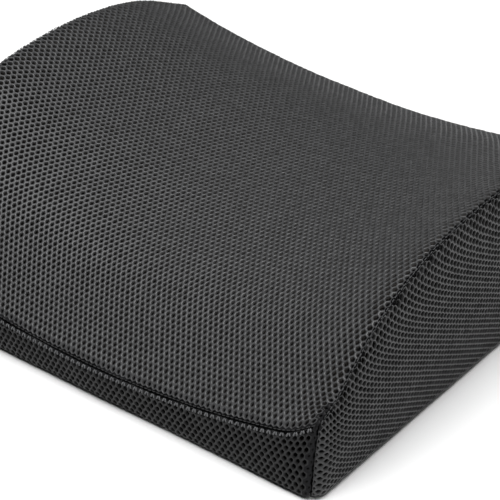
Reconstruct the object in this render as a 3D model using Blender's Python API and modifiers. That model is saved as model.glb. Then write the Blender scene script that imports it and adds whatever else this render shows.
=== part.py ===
"""Lumbar support cushion: a wedge of memory foam in a zipped mesh cover, with an elastic chair strap.

Metres, +Z up. The cushion lies on its flat back. X runs across its width, and Y runs from
the thin end (-Y) to the thick end (+Y). The origin is on the resting plane, below the
middle of the box. The side that faces the sitter is on top: two raised wings and a hollow.
"""
import math

import bmesh
import bpy
from mathutils import Vector

# Outer size of the cushion
HALF_WIDTH = 0.1715          # side faces
THIN_END_Y = -0.1490         # corner seams of the thin end
THICK_END_Y = 0.1552         # flat face of the thick end
THIN_END_BOW = 0.0090        # the thin edge bows outward by this much in the middle
BOW_FADE = 0.25              # share of the depth over which the bow fades out
# Heights of the top at even steps from the thin end to the thick end
SPINE_HEIGHTS = (0.035, 0.061, 0.0775, 0.0855, 0.0885, 0.083, 0.0618)
WING_HEIGHTS = (0.046, 0.0900, 0.1115, 0.1175, 0.1155, 0.105, 0.0825)

# Layers, from the outside in
COVER = 0.0030               # spacer mesh
LINER = 0.0006               # knitted foam sock
GAP = 0.0003
SEAM = 0.0020                # room for the thread between two panels
THREAD_R = 0.0003
SLOPE = 1.3                  # vertical thickness of a layer on the sloping top
ZIP_ROOM = 0.0022            # extra depth behind the thick end's panels

# Zip across the thick end
ZIP_Z = 0.032
ZIP_HALF_LENGTH = 0.142
ZIP_HALF_OPENING = 0.0080    # between the two thick end panels
COIL_GAP = 0.0012
COIL = (0.0019, 0.0016)      # height and thickness of one coil
TAPE_WIDTH = 0.0130
TAPE_THICKNESS = 0.0006
SLIDER = (0.0100, 0.0084)    # length and height of its plates
SLIDER_PLATE = 0.0009
SLIDER_REST_X = 0.1340
TAB = (0.0220, 0.0070, 0.0012)

# Elastic strap across the back
STRAP_Y = 0.012
STRAP_WIDTH = 0.0250
STRAP_THICKNESS = 0.0012
STRAP_LIFT = 0.0014          # height of the webbing above the resting plane
STRAP_END_X = 0.1640
BAR_R = 0.0011               # bar of the buckle that the webbing loops around
LOOP_R = BAR_R + GAP + STRAP_THICKNESS
BAR_Z = STRAP_LIFT + LOOP_R
BUCKLE_HALF_WIDTH = 0.0170
BUCKLE_BOTTOM = 0.0004
BUCKLE_TOP = 2 * BAR_Z - BUCKLE_BOTTOM
BUCKLE_WALL = 0.0012
SOCKET = (-0.0160, 0.0140)   # ends of the socket's shell along X
PLUG = (0.0145, 0.0200)      # ends of the plug's base along X
BAR_OFFSET = 0.0046          # from the shell or the base to its bar
PLUG_TRAVEL = 0.0240
ARM_LENGTH = 0.0190
ARM_ROOT_X = PLUG[0] - GAP
KEEPER_X = -0.0780
KEEPER = (0.0120, 0.0320, 0.0034)
KEEPER_WALL = 0.0008
KEEPER_TRAVEL = 0.0200

# Hollows that the strap presses into the back: (start, end, depth) along X
GROOVE_DEPTH = 0.0031
KEEPER_DEPTH = 0.0043
BUCKLE_DEPTH = 0.0079
HOLLOW_HALF_WIDTH = 0.0190
HOLLOW_RAMP = 0.0080
END_RAMP = 0.0020

GRID_X = 16
GRID_Y = 16

BLACK_MESH = (0.035, 0.036, 0.038)


# Scene and materials

def clear_scene():
    for item in list(bpy.data.objects):
        bpy.data.objects.remove(item, do_unlink=True)


def collection(name):
    group = bpy.data.collections.new(name)
    bpy.context.scene.collection.children.link(group)
    return group


def material(name, colour, roughness, metallic=0.0):
    mat = bpy.data.materials.new(name)
    mat.use_nodes = True
    shader = mat.node_tree.nodes["Principled BSDF"]
    shader.inputs["Base Color"].default_value = (*colour, 1.0)
    shader.inputs["Roughness"].default_value = roughness
    shader.inputs["Metallic"].default_value = metallic
    return mat


def add_object(name, data, mat, location=(0, 0, 0)):
    obj = bpy.data.objects.new(name, data)
    obj.location = location
    data.materials.append(mat)
    PARTS.objects.link(obj)
    return obj


# The cushion's form

def profile(heights, y):
    """Smooth height at y through evenly spaced heights, straight beyond both ends."""
    last = len(heights) - 1
    t = (y - THIN_END_Y) / (THICK_END_Y - THIN_END_Y) * last
    i = min(max(int(math.floor(t)), 0), last - 1)
    slopes = []
    for k in (i, i + 1):
        before, after = max(k - 1, 0), min(k + 1, last)
        slopes.append((heights[after] - heights[before]) / (after - before))
    if t < 0:
        return heights[0] + slopes[0] * t
    f = t - i
    blend = f * f * (3 - 2 * f)
    rise = heights[i] * (1 - blend) + heights[i + 1] * blend
    return rise + slopes[0] * f * (1 - f) ** 2 - slopes[1] * f * f * (1 - f)


def top_height(x, y):
    spine = profile(SPINE_HEIGHTS, y)
    wing = profile(WING_HEIGHTS, y)
    return spine + (wing - spine) * (x / HALF_WIDTH) ** 2


def bow(x, v):
    """How far the thin end bows outward at x, for a point at the share v of the depth."""
    return THIN_END_BOW * (1 - (x / HALF_WIDTH) ** 2) * max(0.0, 1 - v / BOW_FADE)


def plan_point(u, v, inset, rear_inset):
    """Plan position for the shares u (-1 to 1) and v (0 to 1), drawn in from the outer faces."""
    x = u * (HALF_WIDTH - inset)
    front = THIN_END_Y + inset
    y = front + v * (THICK_END_Y - rear_inset - front)
    return x, y - bow(x, v)


def ramp(distance, length):
    return min(max(distance / length, 0.0), 1.0)


def hollow(x, y):
    """Depth that the strap, its keeper and the buckle press into the back."""
    across = 1 - ramp(abs(y - STRAP_Y) - HOLLOW_HALF_WIDTH, HOLLOW_RAMP)
    depth = GROOVE_DEPTH * (1 - ramp(abs(x) - STRAP_END_X - GAP, END_RAMP))
    for start, end, deep in deep_hollows():
        beyond = max(start - x, x - end)
        depth = max(depth, deep * (1 - ramp(beyond, HOLLOW_RAMP)))
    return depth * across


def deep_hollows():
    keeper_reach = KEEPER_TRAVEL + KEEPER[0] / 2 + GAP
    buckle_start = SOCKET[0] - BAR_OFFSET - LOOP_R - GAP
    buckle_end = PLUG[1] + BAR_OFFSET + LOOP_R + PLUG_TRAVEL
    return ((KEEPER_X - keeper_reach, KEEPER_X + keeper_reach, KEEPER_DEPTH),
            (buckle_start, buckle_end, BUCKLE_DEPTH))


def shares(start, end, count, extra=()):
    """Evenly spaced shares with extra lines, each even line giving way to a close extra one."""
    even = [start + (end - start) * i / count for i in range(count + 1)]
    close = (end - start) / count / 4
    inner = [e for e in even[1:-1] if all(abs(e - line) > close for line in extra)]
    return sorted([even[0], even[-1]] + inner + list(extra))


def lines_x(inset):
    """Grid lines across the width, with one at each corner of the hollows."""
    marks = [STRAP_END_X + GAP, STRAP_END_X + GAP + END_RAMP]
    marks += [-m for m in marks]
    for start, end, _ in deep_hollows():
        marks += [start - HOLLOW_RAMP, start, end, end + HOLLOW_RAMP]
    return shares(-1.0, 1.0, GRID_X, [m / (HALF_WIDTH - inset) for m in marks])


def lines_y(inset, rear_inset):
    front = THIN_END_Y + inset
    depth = THICK_END_Y - rear_inset - front
    reach = (HOLLOW_HALF_WIDTH + HOLLOW_RAMP, HOLLOW_HALF_WIDTH)
    marks = [STRAP_Y - r for r in reach] + [STRAP_Y + r for r in reach]
    return shares(0.0, 1.0, GRID_Y, [(m - front) / depth for m in marks])


def lofted_block(name, us, vs, point, mat):
    """A closed block between two lofted grids: point(u, v, 0) and point(u, v, 1)."""
    bm = bmesh.new()
    grids = [[[bm.verts.new(point(u, v, w)) for v in vs] for u in us] for w in (0, 1)]
    rows, columns = len(us), len(vs)
    for grid in grids:
        for i in range(rows - 1):
            for j in range(columns - 1):
                bm.faces.new((grid[i][j], grid[i + 1][j], grid[i + 1][j + 1], grid[i][j + 1]))
    edge = [(i, 0) for i in range(rows)]
    edge += [(rows - 1, j) for j in range(1, columns)]
    edge += [(i, columns - 1) for i in range(rows - 2, -1, -1)]
    edge += [(0, j) for j in range(columns - 2, 0, -1)]
    for (i, j), (k, m) in zip(edge, edge[1:] + edge[:1]):
        bm.faces.new((grids[0][i][j], grids[0][k][m], grids[1][k][m], grids[1][i][j]))
    bmesh.ops.recalc_face_normals(bm, faces=bm.faces)
    mesh = bpy.data.meshes.new(name)
    bm.to_mesh(mesh)
    bm.free()
    return add_object(name, mesh, mat)


def foam_core(mat):
    inset = COVER + LINER + 2 * GAP
    rear = inset + ZIP_ROOM

    def point(u, v, w):
        x, y = plan_point(u, v, inset, rear)
        return x, y, top_height(x, y) - SLOPE * inset if w else hollow(x, y) + inset
    lofted_block("foam_core", lines_x(inset), lines_y(inset, rear), point, mat)


def liner(mat):
    """The sock around the foam: a cap over the top and sides, and a back sheet."""
    outer = COVER + GAP
    rear = outer + ZIP_ROOM
    us, vs = shares(-1.0, 1.0, GRID_X), shares(0.0, 1.0, GRID_Y)
    bm = bmesh.new()

    def vertex(u, v, top):
        x, y = plan_point(u, v, outer, rear)
        return bm.verts.new((x, y, top_height(x, y) - SLOPE * outer if top else outer))
    top = [[vertex(u, v, True) for v in vs] for u in us]
    for i in range(GRID_X):
        for j in range(GRID_Y):
            bm.faces.new((top[i][j], top[i + 1][j], top[i + 1][j + 1], top[i][j + 1]))
    edge = [(i, 0) for i in range(GRID_X)] + [(GRID_X, j) for j in range(GRID_Y)]
    edge += [(i, GRID_Y) for i in range(GRID_X, 0, -1)] + [(0, j) for j in range(GRID_Y, 0, -1)]
    rim = [vertex(us[i], vs[j], False) for i, j in edge]
    for k, (i, j) in enumerate(edge):
        n = (k + 1) % len(edge)
        bm.faces.new((top[i][j], rim[k], rim[n], top[edge[n][0]][edge[n][1]]))
    bmesh.ops.recalc_face_normals(bm, faces=bm.faces)
    if top[0][0].link_faces[0].normal.z < 0:
        bmesh.ops.reverse_faces(bm, faces=bm.faces)
    mesh = bpy.data.meshes.new("liner_cap")
    bm.to_mesh(mesh)
    bm.free()
    cap = add_object("liner_cap", mesh, mat)
    wall = cap.modifiers.new("Wall", "SOLIDIFY")
    wall.thickness = LINER
    wall.offset = -1.0
    wall.use_even_offset = True

    inset = outer + LINER + GAP

    def point(u, v, w):
        x, y = plan_point(u, v, inset, inset + ZIP_ROOM)
        return x, y, hollow(x, y) + outer + w * LINER
    lofted_block("liner_back", lines_x(inset), lines_y(inset, inset + ZIP_ROOM), point, mat)


def cover_panels(mat):
    """The sewn cover: top, back, two sides, and the thin and thick end bands."""
    side_x = HALF_WIDTH - COVER - SEAM      # the end bands stop here, beside the corner threads
    across = shares(-1.0, 1.0, GRID_X)
    along = shares(0.0, 1.0, GRID_Y)

    def top(u, v, w):
        x, y = plan_point(u, v, 0.0, 0.0)
        return x, y, top_height(x, y) - (1 - w) * SLOPE * COVER

    def back(u, v, w):
        x, y = plan_point(u, v, 0.0, 0.0)
        return x, y, hollow(x, y) + w * COVER
    lofted_block("cover_top_panel", across, along, top, mat)
    lofted_block("cover_back_panel", lines_x(0.0), lines_y(0.0, 0.0), back, mat)

    low = COVER + SEAM

    def below_top(x, y):
        return top_height(x, y) - SLOPE * COVER - SEAM

    for side, sign in (("left", -1), ("right", 1)):
        def wall(u, v, w, sign=sign):
            x = sign * (HALF_WIDTH - (1 - w) * COVER)
            y = THIN_END_Y + v * (THICK_END_Y - THIN_END_Y)
            return x, y, low + u * (below_top(x, y) - low)
        lofted_block("cover_side_" + side, (0.0, 0.5, 1.0), along, wall, mat)

    def band(y_of, bottom, ceiling):
        def point(u, v, w):
            x = u * side_x
            y = y_of(x, w)
            z_top = ceiling if ceiling else below_top(x, y)
            return x, y, bottom + v * (z_top - bottom)
        return point
    thin = band(lambda x, w: THIN_END_Y - bow(x, 0.0) + w * COVER, low, None)
    upper = band(lambda x, w: THICK_END_Y - w * COVER, ZIP_Z + ZIP_HALF_OPENING, None)
    lower = band(lambda x, w: THICK_END_Y - w * COVER, low, ZIP_Z - ZIP_HALF_OPENING)
    lofted_block("cover_thin_band", across, (0.0, 0.5, 1.0), thin, mat)
    lofted_block("cover_thick_band_upper", across, (0.0, 0.5, 1.0), upper, mat)
    lofted_block("cover_thick_band_lower", across, (0.0, 1.0), lower, mat)


# Threads of the seams

def thread(name, points, mat, closed=False):
    curve = bpy.data.curves.new(name, "CURVE")
    curve.dimensions = "3D"
    curve.bevel_depth = THREAD_R
    curve.bevel_resolution = 1
    curve.use_fill_caps = not closed
    spline = curve.splines.new("POLY")
    spline.points.add(len(points) - 1)
    for slot, point in zip(spline.points, points):
        slot.co = (*point, 1.0)
    spline.use_cyclic_u = closed
    return add_object(name, curve, mat)


def seam_threads(mat):
    inset = 2 * THREAD_R
    drop = SLOPE * COVER + SEAM / 2
    clear = COVER + 2 * SEAM
    ys = [THIN_END_Y + clear + (THICK_END_Y - THIN_END_Y - 2 * clear) * i / GRID_Y
          for i in range(GRID_Y + 1)]
    xs = [(HALF_WIDTH - clear) * (2 * i / GRID_X - 1) for i in range(GRID_X + 1)]

    def end_y(x, thick):
        return THICK_END_Y - inset if thick else THIN_END_Y - bow(x, 0.0) + inset

    for side, sign in (("left", -1), ("right", 1)):
        x = sign * (HALF_WIDTH - inset)
        thread("seam_thread_side_" + side, [(x, y, top_height(x, y) - drop) for y in ys], mat)
        for end, thick in (("thin", False), ("thick", True)):
            corner_x = sign * (HALF_WIDTH - COVER - SEAM / 2)
            y = end_y(corner_x, thick)
            top = top_height(corner_x, y) - SLOPE * COVER - 2 * SEAM
            low = (corner_x, y, COVER + 2 * SEAM)
            thread(f"seam_thread_corner_{end}_{side}", [low, (corner_x, y, top)], mat)
    for end, thick in (("thin", False), ("thick", True)):
        route = [(x, end_y(x, thick)) for x in xs]
        thread(f"seam_thread_{end}_edge", [(x, y, top_height(x, y) - drop) for x, y in route], mat)

    z = COVER + SEAM / 2
    x = HALF_WIDTH - inset
    loop = [(u, end_y(u, False), z) for u in (-x, *xs, x)]
    loop += [(x, end_y(x, True), z), (-x, end_y(-x, True), z)]
    thread("seam_thread_back", loop, mat, closed=True)


# Small hardware

def box(name, low, high, mat, bevel=0.0, origin=None):
    """A box between two corners, with rounded edges, whose origin can be set."""
    low, high = Vector(low), Vector(high)
    centre = (low + high) / 2
    origin = Vector(origin) if origin else centre
    mesh = bpy.data.meshes.new(name)
    bm = bmesh.new()
    bmesh.ops.create_cube(bm, size=1.0)
    for vert in bm.verts:
        vert.co = Vector(a * b for a, b in zip(vert.co, high - low)) + centre - origin
    bm.to_mesh(mesh)
    bm.free()
    obj = add_object(name, mesh, mat, origin)
    if bevel:
        edges = obj.modifiers.new("Rounded", "BEVEL")
        edges.width = bevel
        edges.segments = 2
    return obj


def rod(name, centre, axis, radius, length, mat):
    mesh = bpy.data.meshes.new(name)
    bm = bmesh.new()
    bmesh.ops.create_cone(bm, cap_ends=True, segments=16, radius1=radius, radius2=radius,
                          depth=length)
    bm.to_mesh(mesh)
    bm.free()
    obj = add_object(name, mesh, mat, centre)
    obj.rotation_mode = "QUATERNION"
    obj.rotation_quaternion = Vector((0, 0, 1)).rotation_difference(Vector(axis))
    return obj


def combine(body, tool, operation):
    """Cut a tool from a body, or join it on, and keep the tool with the cutters."""
    step = body.modifiers.new(operation.title(), "BOOLEAN")
    step.operation = operation
    step.solver = "EXACT"
    step.object = tool
    PARTS.objects.unlink(tool)
    CUTTERS.objects.link(tool)
    tool.hide_render = True
    tool.display_type = "WIRE"


def zip_fastener(tape_mat, coil_mat, metal):
    tape_y = THICK_END_Y - COVER - GAP
    for part, sign in (("upper", 1), ("lower", -1)):
        near = ZIP_Z + sign * COIL_GAP / 2
        far = near + sign * TAPE_WIDTH
        z = sorted((near, far))
        box("zip_tape_" + part, (-ZIP_HALF_LENGTH, tape_y - TAPE_THICKNESS, z[0]),
            (ZIP_HALF_LENGTH, tape_y, z[1]), tape_mat)
        z = sorted((near, near + sign * COIL[0]))
        end = ZIP_HALF_LENGTH - 0.003
        box("zip_coil_" + part, (-end, tape_y + GAP, z[0]), (end, tape_y + GAP + COIL[1], z[1]),
            coil_mat, 0.0004)
    for place, sign in (("open", -1), ("closed", 1)):
        x = sorted(sign * (ZIP_HALF_LENGTH - 0.003 + step) for step in (GAP, 0.0024))
        box(f"zip_stop_{place}_end", (x[0], tape_y + GAP, ZIP_Z - 0.0024),
            (x[1], tape_y + GAP + COIL[1], ZIP_Z + 0.0024), metal, 0.0003)

    coil_y = (tape_y - TAPE_THICKNESS - GAP, tape_y + 2 * GAP + COIL[1])
    half = (SLIDER[0] / 2, SLIDER[1] / 2)
    centre = (SLIDER_REST_X, coil_y[1], ZIP_Z)
    outer = coil_y[1] + SLIDER_PLATE

    def plate(name, y0, y1, bevel):
        return box(name, (SLIDER_REST_X - half[0], y0, ZIP_Z - half[1]),
                   (SLIDER_REST_X + half[0], y1, ZIP_Z + half[1]), metal, bevel, centre)
    slider = plate("zip_slider", coil_y[1], outer, 0.0)
    inner = plate("slider_inner_plate", coil_y[0] - SLIDER_PLATE, coil_y[0], 0.0)
    post = box("slider_post", (SLIDER_REST_X + 0.0014, coil_y[0] - 0.0004, ZIP_Z - 0.0003),
               (SLIDER_REST_X + half[0] - 0.001, coil_y[1] + 0.0004, ZIP_Z + 0.0003), metal)
    pivot = (SLIDER_REST_X, outer + 0.0013, ZIP_Z)
    lug = box("slider_lug", (SLIDER_REST_X - 0.0026, outer - 0.0004, ZIP_Z - 0.001),
              (SLIDER_REST_X + 0.0026, outer + 0.0029, ZIP_Z + 0.001), metal)
    hole = rod("slider_lug_hole", pivot, (0, 0, 1), 0.0011, 0.004, metal)
    for tool in (inner, post, lug):
        combine(slider, tool, "UNION")
    combine(slider, hole, "DIFFERENCE")

    length, width, thickness = TAB
    tab = box("zip_pull_tab", (pivot[0] - length, pivot[1] - thickness / 2, ZIP_Z - width / 2),
              (pivot[0] + thickness / 2, pivot[1] + thickness / 2, ZIP_Z + width / 2), metal,
              0.0, pivot)
    eye = box("pull_tab_eye", (pivot[0] - 0.0046, pivot[1] - 0.002, ZIP_Z - 0.0017),
              (pivot[0] - thickness / 2, pivot[1] + 0.002, ZIP_Z + 0.0017), metal)
    combine(tab, eye, "DIFFERENCE")


def webbing(name, bar_x, sign, mat):
    """One strap half seen from the side: a flat run from the seam, looped around the bar."""
    outline = [(sign * STRAP_END_X, STRAP_LIFT)]
    rise = BAR_R + GAP
    last = 180 + math.degrees(math.asin(rise / LOOP_R))
    for i in range(21):
        angle = math.radians(-90 + (last + 90) * i / 20)
        outline.append((bar_x - sign * LOOP_R * math.cos(angle), BAR_Z + LOOP_R * math.sin(angle)))
    outline.append((sign * STRAP_END_X, STRAP_LIFT + STRAP_THICKNESS))
    hole = [(bar_x + rise * math.cos(a), BAR_Z + rise * math.sin(a))
            for a in (2 * math.pi * i / 16 for i in range(16))]
    curve = bpy.data.curves.new(name, "CURVE")
    curve.dimensions = "2D"
    curve.fill_mode = "BOTH"
    curve.extrude = STRAP_WIDTH / 2
    for points in (outline, hole):
        spline = curve.splines.new("POLY")
        spline.points.add(len(points) - 1)
        for slot, (x, z) in zip(spline.points, points):
            slot.co = (x, z, 0.0, 1.0)
        spline.use_cyclic_u = True
    strap = add_object(name, curve, mat, (0, STRAP_Y, 0))
    strap.rotation_euler = (math.radians(90), 0, 0)


def buckle_frame(body, end_x, sign, mat):
    """Join two rails and the webbing bar onto one half of the buckle."""
    bar_x = end_x + sign * BAR_OFFSET
    inner = STRAP_WIDTH / 2 + GAP * 2
    for rail_sign in (-1, 1):
        y = sorted(STRAP_Y + rail_sign * w for w in (inner, BUCKLE_HALF_WIDTH - 0.001))
        x = sorted((end_x - sign * 0.0008, bar_x + sign * (BAR_R + 0.0004)))
        rail = box(body.name + "_rail", (x[0], y[0], BAR_Z - 0.0022), (x[1], y[1], BAR_Z + 0.0022), mat)
        combine(body, rail, "UNION")
    bar = rod(body.name + "_bar", (bar_x, STRAP_Y, BAR_Z), (0, 1, 0), BAR_R, 2 * inner + 0.002, mat)
    combine(body, bar, "UNION")


def buckle(mat):
    low, high = BUCKLE_BOTTOM, BUCKLE_TOP
    width = BUCKLE_HALF_WIDTH
    socket = box("buckle_socket", (SOCKET[0], STRAP_Y - width, low),
                 (SOCKET[1], STRAP_Y + width, high), mat)
    room = box("socket_room", (SOCKET[0] + 0.004, STRAP_Y - width + BUCKLE_WALL, low + BUCKLE_WALL),
               (SOCKET[1] + 0.002, STRAP_Y + width - BUCKLE_WALL, high - BUCKLE_WALL), mat)
    window = box("socket_windows", (SOCKET[0] + 0.009, STRAP_Y - width - 0.002, low + 0.0016),
                 (SOCKET[0] + 0.021, STRAP_Y + width + 0.002, high - 0.0016), mat)
    combine(socket, room, "DIFFERENCE")
    combine(socket, window, "DIFFERENCE")
    buckle_frame(socket, SOCKET[0], -1, mat)

    plug = box("buckle_plug", (PLUG[0], STRAP_Y - width + 0.001, low + 0.0006),
               (PLUG[1], STRAP_Y + width - 0.001, high - 0.0006), mat)
    prong = box("plug_prong", (PLUG[0] - ARM_LENGTH, STRAP_Y - 0.0022, BAR_Z - 0.0015),
                (PLUG[0] + 0.001, STRAP_Y + 0.0022, BAR_Z + 0.0015), mat)
    combine(plug, prong, "UNION")
    buckle_frame(plug, PLUG[1], 1, mat)
    for side, sign in (("left", -1), ("right", 1)):
        outer = STRAP_Y + sign * (width - BUCKLE_WALL - 0.0008)
        inner = outer - sign * 0.0034
        y = sorted((outer, inner))
        root = (ARM_ROOT_X, (outer + inner) / 2, BAR_Z)
        box("buckle_arm_" + side, (ARM_ROOT_X - ARM_LENGTH, y[0], BAR_Z - 0.0018),
            (ARM_ROOT_X, y[1], BAR_Z + 0.0018), mat, 0.0006, root)


def strap_keeper(mat):
    length, width, height = KEEPER
    bottom = STRAP_LIFT - GAP - KEEPER_WALL
    keeper = box("strap_keeper", (KEEPER_X - length / 2, STRAP_Y - width / 2, bottom),
                 (KEEPER_X + length / 2, STRAP_Y + width / 2, bottom + height), mat)
    slot = box("keeper_slot", (KEEPER_X - length, STRAP_Y - width / 2 + 0.0028, bottom + KEEPER_WALL),
               (KEEPER_X + length, STRAP_Y + width / 2 - 0.0028, bottom + height - KEEPER_WALL), mat)
    combine(keeper, slot, "DIFFERENCE")


def build():
    mesh_fabric = material("black_spacer_mesh", BLACK_MESH, 0.75)
    foam = material("memory_foam", (0.62, 0.58, 0.45), 0.9)
    sock = material("knitted_liner", (0.02, 0.02, 0.022), 0.85)
    yarn = material("black_thread", (0.015, 0.015, 0.016), 0.6)
    tape = material("zip_tape", (0.02, 0.02, 0.022), 0.8)
    coil = material("zip_coil", (0.012, 0.012, 0.013), 0.4)
    metal = material("black_lacquered_metal", (0.03, 0.03, 0.032), 0.35, 0.6)
    elastic = material("elastic_webbing", (0.02, 0.02, 0.022), 0.8)
    plastic = material("black_acetal", (0.018, 0.018, 0.019), 0.4)

    foam_core(foam)
    liner(sock)
    cover_panels(mesh_fabric)
    seam_threads(yarn)
    zip_fastener(tape, coil, metal)
    webbing("strap_webbing_left", SOCKET[0] - BAR_OFFSET, -1, elastic)
    webbing("strap_webbing_right", PLUG[1] + BAR_OFFSET, 1, elastic)
    buckle(plastic)
    strap_keeper(plastic)


clear_scene()
PARTS = collection("lumbar_support_cushion")
CUTTERS = collection("cutters")
build()
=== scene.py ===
"""The looks of the lumbar cushion: a foam wedge in a sewn spacer-mesh cover, lying on its back.

The cover's knitted mesh is real geometry: each panel is a net of yarn around oval holes, laid on
the panel's own surface over a dark backing. Metres, in the frame of the CAD model.
"""
import math

import bmesh
import bpy
import numpy as np
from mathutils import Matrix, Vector


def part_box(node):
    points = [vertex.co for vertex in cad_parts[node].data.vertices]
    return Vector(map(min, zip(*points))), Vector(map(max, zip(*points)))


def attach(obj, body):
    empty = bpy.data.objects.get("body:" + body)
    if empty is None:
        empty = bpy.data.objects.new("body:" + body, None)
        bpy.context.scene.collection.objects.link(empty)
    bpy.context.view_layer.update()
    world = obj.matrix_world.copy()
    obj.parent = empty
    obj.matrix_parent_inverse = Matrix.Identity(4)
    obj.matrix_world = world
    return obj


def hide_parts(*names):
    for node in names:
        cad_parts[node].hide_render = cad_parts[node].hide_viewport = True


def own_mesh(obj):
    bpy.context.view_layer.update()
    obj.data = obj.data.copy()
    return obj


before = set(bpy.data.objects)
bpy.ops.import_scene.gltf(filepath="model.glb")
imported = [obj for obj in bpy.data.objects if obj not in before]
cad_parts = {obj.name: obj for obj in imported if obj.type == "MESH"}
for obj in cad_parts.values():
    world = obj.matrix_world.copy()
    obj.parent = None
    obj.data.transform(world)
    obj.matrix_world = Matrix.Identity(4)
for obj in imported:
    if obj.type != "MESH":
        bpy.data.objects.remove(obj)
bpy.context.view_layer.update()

PANEL_LOW, PANEL_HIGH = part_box("cover_back_panel")
SIDE_LOW, SIDE_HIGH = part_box("cover_side_right")

# The cushion's form: the CAD model's, but its thin edge is straighter, and lower in the middle
HALF_WIDTH = PANEL_HIGH.x
THIN_Y = SIDE_LOW.y                  # corner seams of the thin end
THICK_Y = SIDE_HIGH.y                # flat face of the thick end
MID_Y = (THIN_Y + THICK_Y) / 2
HALF_DEPTH = (THICK_Y - THIN_Y) / 2
CAD_BOW = THIN_Y - PANEL_LOW.y       # how far the CAD model's thin edge bows outward in the middle
THIN_BOW = 0.0020                    # how far this one does
LOW_BOW = 0.0012                     # and how far at the floor
BOW_FADE = 0.25                      # share of the depth over which the bow fades out
# Heights of the top at even steps from the thin end to the thick end: in the middle, and at the sides
SPINE_HEIGHTS = (0.0245, 0.061, 0.0775, 0.0855, 0.0885, 0.083, 0.0618)
WING_HEIGHTS = (0.046, 0.0900, 0.1115, 0.1175, 0.1155, 0.105, 0.0825)

# The sewn form
SEAM_X = HALF_WIDTH - 0.0015         # the side seams
PUFF = 0.0021                        # swell of the top just inside its seams
PUFF_RISE = 0.0045                   # distance from a seam within which it rises
PUFF_FADE = 0.05                     # and over which it fades
SAG = 0.0008                         # the soft top lies this much under the form in its middle
SAG_REACH = 0.08                     # and is at its lowest this far from a seam
SIDE_BULGE = 0.0030
END_BULGE = 0.0012
TOP_UNEVEN = 0.0006                  # slow unevenness of the top
WALL_UNEVEN = 0.0007                 # and of the walls
BOTTOM_ROUND = 0.0050                # radius under the walls' lower edges
CORNER_TOP = 0.0030                  # radius of the upright corners at the top seam
CORNER_LOW = 0.0100                  # and near the floor
FLOOR_GAP = 0.0009
COVER_THICK = 0.003                  # the foam's top lies at least this far below the form
SOFT_CORNER = 0.007                  # the foam's upright corners are drawn in by this much
SOFT_CORNER_REACH = 0.018
LINER_SPLIT = 0.012                  # height of the seam between the liner's cap and its back sheet
TOP_LENGTH = 0.334                   # cloth length of the top along its middle
PANEL_HALF = 0.0435 * 4              # half the top's cloth width

CORNER_PULL = (0.0040, 0.0070, 0.0025)   # in, back and up: the thin end's upper corners
CORNER_PULL_REACH = 0.014
CORNER_FLARE = 0.0018                # the thin end's lower corners stand out by this much
FLARE_REACH = (0.05, 0.02, 0.03)     # over this distance across, in depth and up
CORNER_WRAP = math.radians(53)       # how far the side panels' cloth turns round an upright corner
GROOVE_REACH = 0.0011                # how far from a seam the cloth turns down into its groove
SIDE_GROOVE = 0.0002                 # depth of the grooves along the side seams
END_GROOVE = 0.0005                  # along the top's two ends
CORNER_GROOVE = 0.0004               # and up the corners
RIDGE = 0.0003                       # height of the soft ridge beside a seam
RIDGE_AT = 0.0042                    # its distance from the seam
RIDGE_WIDTH = 0.0022

ZIP_Z = 0.0320
ZIP_OPEN = 0.0080                    # half the opening in the cloth above the zip's tapes
ZIP_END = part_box("zip_tape_upper")[1].x - 0.0025
ZIP_DIP = 0.0024                     # the thick end is drawn in by this much along the zip
COIL_PITCH = 0.0022
COIL_REACH = 0.0009                  # how far a coil turn reaches past the middle gap

# The strap, and the hollow that it, its keeper and its buckle press into the back
STRAP_LOW, STRAP_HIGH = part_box("strap_webbing_left")
STRAP_Y = (STRAP_LOW.y + STRAP_HIGH.y) / 2
STRAP_WIDTH = 0.0250
STRAP_THICK = 0.0012
STRAP_STEP = 0.0009                  # one row of the weave
STRAP_RIBS = 9
HOLLOW_HALF = 0.0190
HOLLOW_RAMP = 0.0080
STRAP_HOLLOW = 0.0031
KEEPER_HOLLOW = 0.0043
BUCKLE_HOLLOW = 0.0079

# The knit
CELL = 0.00402                       # pitch across the holes
ROW = 0.00328                        # half the pitch along them
YARN_CROWN = 0.00038                 # the yarn's crown above the cloth's surface
YARN_FLANK = 0.00020                 # its rounded shoulder
YARN_EDGE = -0.00090                 # its lower edge, at the hole
BACKING_DEPTH = 0.0026
BAND_KNIT = 1.09                     # the thin band's cells are this much larger
KNIT_DRIFT = 0.0008                  # how far the rows wander
YARN_JITTER = 0.00010                # unevenness of the single cells
FLANK_SHARE = 0.28                   # how far out from the hole's edge the shoulder lies
HOLE_SWING = 0.06                    # how unevenly the holes open
DRAWN_REACH = 0.0085                 # how far from a drawn seam the holes are opened
DRAWN_WIDER = 0.20
DRAWN_LONGER = 0.06
ROLLED_REACH = 0.0011                # the cells that turn into a seam are nearly closed
ROLLED_OPEN = 0.03
BESIDE_REACH = 0.0040                # those beside an end band's upright corners are mostly closed
BESIDE_OPEN = 0.32

# Material slots of a cover panel: first the lots of yarn, then the three below
YARN_LOTS = 3
SHADED_UNDER_SLOT = 3                       # the net's underside round the holes, its yarn painted darker as painted shade
SPACER_SLOT = 4                      # the dark layer below the net
SEAM_SHADE_SLOT = 5                    # painted seam shade: the gathered and rolled cells at the seams and corners, and the dark layer beside the seams, painted near black
# how far from a seam the dark layer is painted near black as seam shade
SEAM_SHADE_REACH = 0.006

rng = np.random.default_rng(7)


# Curves and surfaces of the cushion, on arrays

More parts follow.
